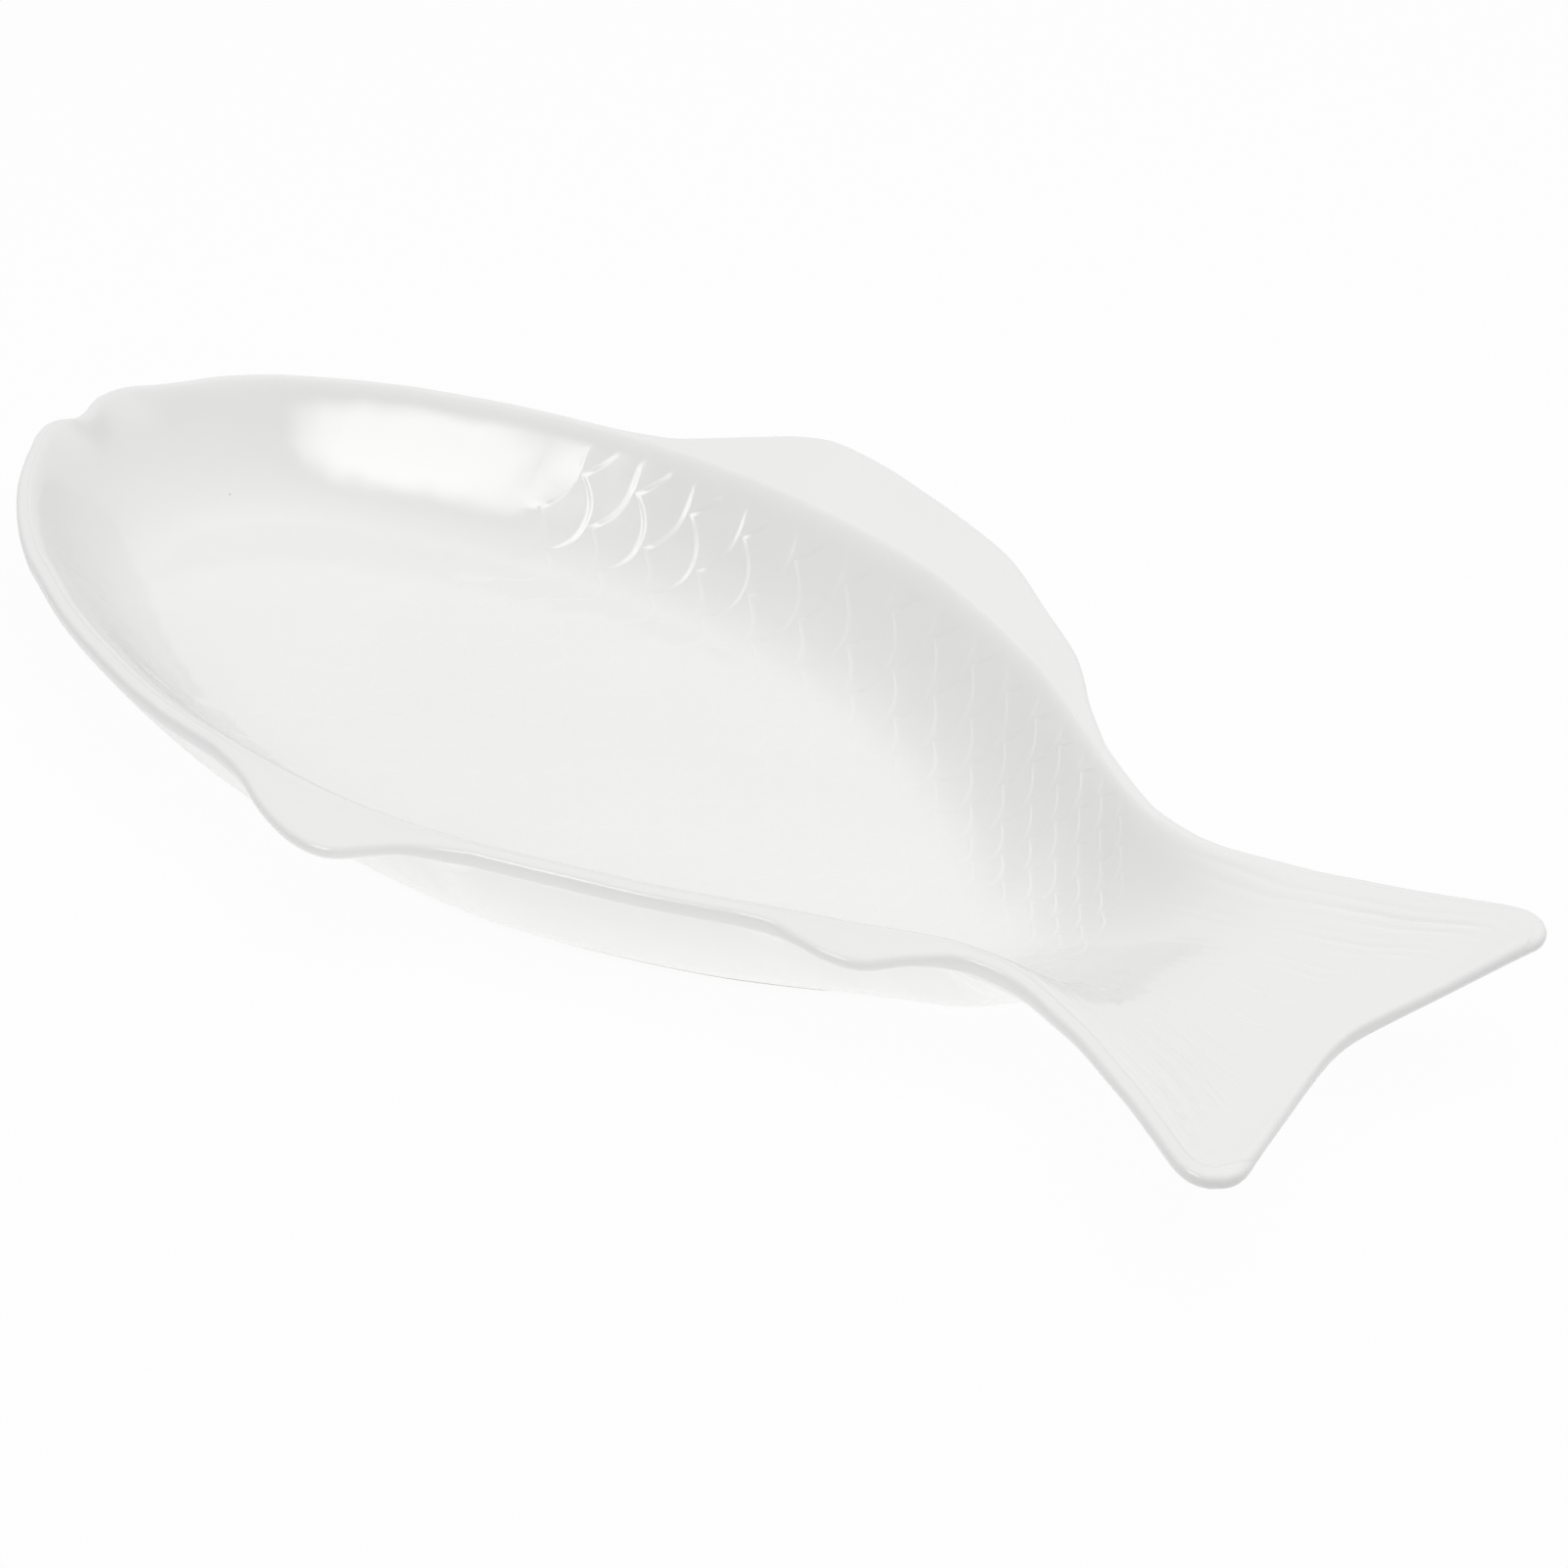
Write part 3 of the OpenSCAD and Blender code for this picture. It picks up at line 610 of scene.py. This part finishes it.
# Pinholes: the cells are upright columns through the platter, and a few of them hold a dark dot
place = tree.nodes.new("ShaderNodeTexCoord").outputs["Object"]
in_plan = add_node(tree, "ShaderNodeVectorMath", {0: place, 1: (1, 1, 0)}, operation="MULTIPLY")
inputs = {"Vector": in_plan.outputs["Vector"], "Scale": pinhole_cells}
cells = add_node(tree, "ShaderNodeTexVoronoi", inputs)
dot = carry(tree, cells.outputs["Distance"], pinhole_edge, pinhole_core, 0, 1, "LINEAR")
pick = add_node(tree, "ShaderNodeSeparateColor", {"Color": cells.outputs["Color"]})
rare = reckon(tree, "GREATER_THAN", pick.outputs["Red"], pinhole_rarity)
pinhole = reckon(tree, "MULTIPLY", dot, rare)
tint = two_colours(tree, clouds(tree, place, cloud_scale, cloud_detail), white, warm_white)
colour = two_colours(tree, pinhole, tint, speck_grey)
tree.links.new(colour, shader.inputs["Base Color"])

wave = clouds(tree, place, wave_scale, ripple_detail)
peel = clouds(tree, place, peel_scale, ripple_detail)
fine = reckon(tree, "MULTIPLY_ADD", peel, peel_share, wave)
relief = reckon(tree, "MULTIPLY_ADD", pinhole, pinhole_dent, fine)
ripple = add_node(tree, "ShaderNodeBump", {"Distance": ripple_height, "Height": relief})
tree.links.new(ripple.outputs["Normal"], shader.inputs["Normal"])
tree.links.new(ripple.outputs["Normal"], shader.inputs["Coat Normal"])


# Table: a plain white sheet that keeps the platter's shadow. It looks white to the camera, and
# throws more light up beside the platter than further out.
def white_rays(tree):
    """One for rays of the camera, and for those that gloss or glass shows, and else nothing."""
    path = tree.nodes.new("ShaderNodeLightPath").outputs
    shown = reckon(tree, "MAXIMUM", path["Is Camera Ray"], path["Is Glossy Ray"])
    return reckon(tree, "MAXIMUM", shown, path["Is Transmission Ray"])


def two_shaders(tree, share, first, second):
    """The surface of a material, mixed from two shaders."""
    mix = add_node(tree, "ShaderNodeMixShader", {"Fac": share, 1: first, 2: second})
    tree.links.new(mix.outputs[0], tree.nodes["Material Output"].inputs["Surface"])


table_size, table_drop = 8, 0.0001
near_bounce, far_bounce, bounce_from, bounce_to = 1.82, 0.3, 0.12, 0.3
glow_to_room, glow_to_camera = 0.45, 0.93
bpy.ops.mesh.primitive_plane_add(size=table_size, location=(0, 0, -table_drop))
table = bpy.context.object
table.name = "table"
sheet = bpy.data.materials.new("white_sheet")
sheet.use_nodes = True
tree = sheet.node_tree
matt = tree.nodes["Principled BSDF"]
matt.inputs["Base Color"].default_value = (0.85, 0.85, 0.85, 1)
matt.inputs["Roughness"].default_value = 0.9
place = tree.nodes.new("ShaderNodeTexCoord").outputs["Object"]
out = add_node(tree, "ShaderNodeVectorMath", {0: place}, operation="LENGTH").outputs["Value"]
pool = carry(tree, out, bounce_from, bounce_to, near_bounce, far_bounce)
seen = white_rays(tree)
strength = carry(tree, seen, 0, 1, pool, 1, "LINEAR")
glow = add_node(tree, "ShaderNodeEmission", {"Strength": strength})
glow_share = carry(tree, seen, 0, 1, glow_to_room, glow_to_camera, "LINEAR")
two_shaders(tree, glow_share, matt.outputs[0], glow.outputs[0])
table.data.materials.append(sheet)

# Tent: white cloth all round, lit from above and darker down to the table, most of all in front of
# the platter and behind it, so that the walls shade. The camera and the glaze see it plain white.
to_camera = (0.68, -0.73, 0)
low_light, high_light, high_at = 0.05, 0.93, 0.55
front_from, front_to, front_dim, low_to, low_from = 0, 0.9, 0.55, 0.1, 0.68
behind_from, behind_to, behind_dim = 0.1, -0.8, 0.3
world = bpy.data.worlds.new("tent")
bpy.context.scene.world = world
world.use_nodes = True
tree = world.node_tree
tent = tree.nodes["Background"]
tent.inputs["Color"].default_value = (1, 1, 1, 1)
way = tree.nodes.new("ShaderNodeTexCoord").outputs["Generated"]
facing = add_node(tree, "ShaderNodeVectorMath", {0: way, 1: to_camera}, operation="DOT_PRODUCT")
facing = facing.outputs["Value"]
rise = add_node(tree, "ShaderNodeSeparateXYZ", {"Vector": way}).outputs["Z"]
front = carry(tree, facing, front_from, front_to, 0, front_dim)
low_front = reckon(tree, "MULTIPLY", front, carry(tree, rise, low_to, low_from, 1, 0))
from_above = carry(tree, rise, 0, high_at, low_light, high_light)
behind = carry(tree, facing, behind_from, behind_to, 0, behind_dim)
all_round = reckon(tree, "SUBTRACT", from_above, behind)
shade = reckon(tree, "SUBTRACT", all_round, low_front)
shade.node.use_clamp = True
inputs = {"Factor": white_rays(tree), "A": shade, "B": 1}
brightness = add_node(tree, "ShaderNodeMix", inputs)
tree.links.new(brightness.outputs["Result"], tent.inputs["Strength"])

# Camera: as in the photograph, three quarters from the tail, 33 degrees above the table. The place
# that it aims at and its distance are in the mm of the outline.
aim_x, aim_y, aim_z, distance = 225.776, -9.438, 28.4, 652.64
heading, raised = math.radians(-42.949), math.radians(33.02)
right = Vector((math.cos(heading), -math.sin(heading), 0))
away = Vector((math.sin(heading), math.cos(heading), 0))
up = Vector((0, 0, 1))
ahead = away * math.cos(raised) - up * math.sin(raised)
camera = bpy.data.objects.new("camera", bpy.data.cameras.new("camera"))
bpy.context.collection.objects.link(camera)
camera.data.lens, camera.data.sensor_width = 78.75, 36
camera.data.clip_start, camera.data.clip_end = 0.01, 50
aim_at = Vector(((aim_x - centre[0]) * mm, (aim_y - centre[1]) * mm, aim_z * mm))
camera.location = aim_at - ahead * distance * mm
camera.rotation_euler = ahead.to_track_quat("-Z", "Y").to_euler()
bpy.context.scene.camera = camera

# Soft box: a square lamp above the platter, slightly towards the camera and to its right. It
# lights the floor and the fins, and it doesn't show in the glaze.
box_size, box_power = 1.2, 4.5
box_at = away * -0.2 + right * 0.25 + up * 1.25
lamp = bpy.data.lights.new("box_above", "AREA")
lamp.shape = "RECTANGLE"
lamp.size = lamp.size_y = box_size
lamp.energy = box_power
box = bpy.data.objects.new("box_above", lamp)
bpy.context.collection.objects.link(box)
box.location = box_at
box.rotation_euler = (-box_at).to_track_quat("-Z", "Y").to_euler()
box.visible_glossy = False

# Card: a bright sheet of silk on the left, with soft edges. It only shows in the glaze, as the
# highlight on the far wall of the head.
card_length, card_width, card_turn, card_strength = 0.8, 0.46, 20, 5.6
half, soft_edges = 0.5, (("X", 0.34), ("Y", 0.42))
lit_wall = Vector((-0.115, 0.04, 0.02))
card_at = lit_wall + right * -0.505 + away * -0.511 + up * 0.535
bpy.ops.mesh.primitive_plane_add(size=2 * half, location=card_at)
card = bpy.context.object
card.name = "card_left"
card.scale = (card_length, card_width, 1)
turned = Quaternion((0, 0, 1), math.radians(card_turn))
card.rotation_euler = ((lit_wall - card_at).to_track_quat("Z", "Y") @ turned).to_euler()
card.visible_diffuse = card.visible_shadow = card.visible_camera = False
silk = bpy.data.materials.new("soft_card")
silk.use_nodes = True
tree = silk.node_tree
tree.nodes.remove(tree.nodes["Principled BSDF"])
place = tree.nodes.new("ShaderNodeTexCoord").outputs["Object"]
split = add_node(tree, "ShaderNodeSeparateXYZ", {"Vector": place})
fades = []
for axis, soft in soft_edges:
    from_middle = reckon(tree, "ABSOLUTE", split.outputs[axis])
    fades.append(carry(tree, from_middle, half, half - soft, 0, 1))
clear = tree.nodes.new("ShaderNodeBsdfTransparent")
shine = add_node(tree, "ShaderNodeEmission", {"Strength": card_strength})
two_shaders(tree, reckon(tree, "MULTIPLY", *fades), clear.outputs[0], shine.outputs[0])
card.data.materials.append(silk)

bpy.context.scene.view_settings.view_transform = "Standard"
